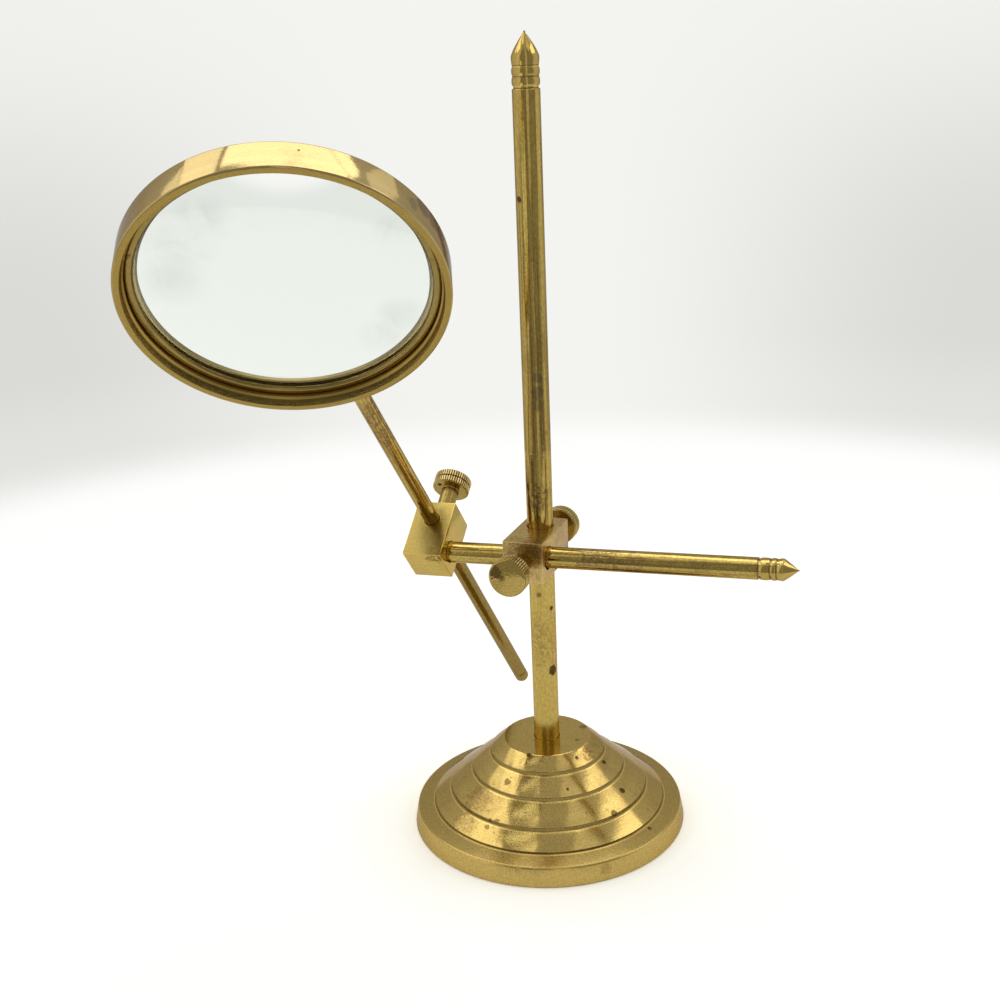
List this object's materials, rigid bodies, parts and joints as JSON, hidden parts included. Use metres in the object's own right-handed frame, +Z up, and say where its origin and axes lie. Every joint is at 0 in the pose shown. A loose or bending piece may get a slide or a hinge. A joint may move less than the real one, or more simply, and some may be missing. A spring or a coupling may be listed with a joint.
{
  "type": "magnifying glass on stand",
  "caption": "Brass-framed round lens on a tilting rod, held by a cross arm and square clamp blocks on a post with a heavy stepped round base.",
  "frame": {"origin": "centre of the base's underside, on the post's axis", "axes": "+Z up the post; +X towards the cross arm's pointed end; -Y towards the side the lens leans to"},
  "size_m": [0.1918, 0.1919, 0.2902],
  "materials": {
    "base_brass": "lathe-turned brass with dark oxidised spots",
    "rod_brass": "drawn brass rod, satin with fine tarnish",
    "block_brass": "squared brass bar, brownish satin",
    "lens_block_brass": "squared brass bar, brighter satin",
    "knob_brass": "knurled brass, satin",
    "frame_brass": "polished brass band with a duller front edge",
    "ring_brass": "turned brass, satin",
    "screw_steel": "plain steel screw thread",
    "lens_glass": "clear polished glass"
  },
  "bodies": {
    "base": {"base": "base_brass", "base_washer": "screw_steel", "base_nut": "screw_steel"},
    "post": {"post": "rod_brass", "post_finial": "rod_brass"},
    "clamp": {"clamp_block": "block_brass"},
    "arm_lock_stud": {"arm_lock_stud": "screw_steel"},
    "arm_lock_head": {"arm_lock_head": "knob_brass"},
    "post_lock_stud": {"post_lock_stud": "screw_steel"},
    "post_lock_head": {"post_lock_head": "knob_brass"},
    "arm": {"cross_arm": "rod_brass", "arm_finial": "rod_brass"},
    "lens_block": {"lens_block": "lens_block_brass"},
    "rod_lock_stud": {"rod_lock_stud": "screw_steel"},
    "rod_lock_head": {"rod_lock_head": "knob_brass"},
    "rod": {"lens_rod": "rod_brass", "rod_finial": "rod_brass"},
    "lens_frame": {"lens_frame": "frame_brass", "lens": "lens_glass", "retaining_ring": "ring_brass"}
  },
  "joints": [
    {"name": "post_turn", "type": "hinge", "parent": "base", "child": "post", "pos_m": [0, 0, 0.1], "axis": [0, 0, 1], "continuous": true},
    {"name": "clamp_lift", "type": "slide", "parent": "post", "child": "clamp", "axis": [0, 0, 1], "range_m": [-0.018, 0.15]},
    {"name": "arm_slide", "type": "slide", "parent": "clamp", "child": "arm", "axis": [0.999, 0, 0.0436], "range_m": [-0.07, 0.02]},
    {"name": "arm_tilt", "type": "hinge", "parent": "arm", "child": "lens_block", "pos_m": [0, -0.0125, 0.1115], "axis": [-0.999, 0, -0.0436], "range_deg": [-70, 12]},
    {"name": "rod_slide", "type": "slide", "parent": "lens_block", "child": "rod", "axis": [-0.0346, -0.6097, 0.7919], "range_m": [-0.024, 0.09]},
    {"name": "lens_turn", "type": "hinge", "parent": "rod", "child": "lens_frame", "pos_m": [-0.03841, -0.00518, 0.11546], "axis": [-0.0346, -0.6097, 0.7919], "continuous": true},
    {"name": "arm_lock_turn", "type": "hinge", "parent": "arm_lock_stud", "child": "arm_lock_head", "pos_m": [0, -0.0194, 0.1115], "axis": [0, -1, 0], "range_deg": [0, 540]},
    {"name": "arm_lock_travel", "type": "slide", "parent": "clamp", "child": "arm_lock_stud", "axis": [0, -1, 0], "range_m": [0, 0.0011]},
    {"name": "post_lock_turn", "type": "hinge", "parent": "post_lock_stud", "child": "post_lock_head", "pos_m": [0, 0.0094, 0.1115], "axis": [0, 1, 0], "range_deg": [0, 540]},
    {"name": "post_lock_travel", "type": "slide", "parent": "clamp", "child": "post_lock_stud", "axis": [0, 1, 0], "range_m": [0, 0.0011]},
    {"name": "rod_lock_turn", "type": "hinge", "parent": "rod_lock_stud", "child": "rod_lock_head", "pos_m": [-0.03861, 0.00066, 0.11995], "axis": [-0.0266, 0.7926, 0.6091], "range_deg": [0, 540]},
    {"name": "rod_lock_travel", "type": "slide", "parent": "lens_block", "child": "rod_lock_stud", "axis": [-0.0266, 0.7926, 0.6091], "range_m": [0, 0.0011]}
  ],
  "couplings": [
    {"joint": "arm_lock_travel", "follows": "arm_lock_turn", "m_per_rad": 0.00011141},
    {"joint": "post_lock_travel", "follows": "post_lock_turn", "m_per_rad": 0.00011141},
    {"joint": "rod_lock_travel", "follows": "rod_lock_turn", "m_per_rad": 0.00011141}
  ]
}
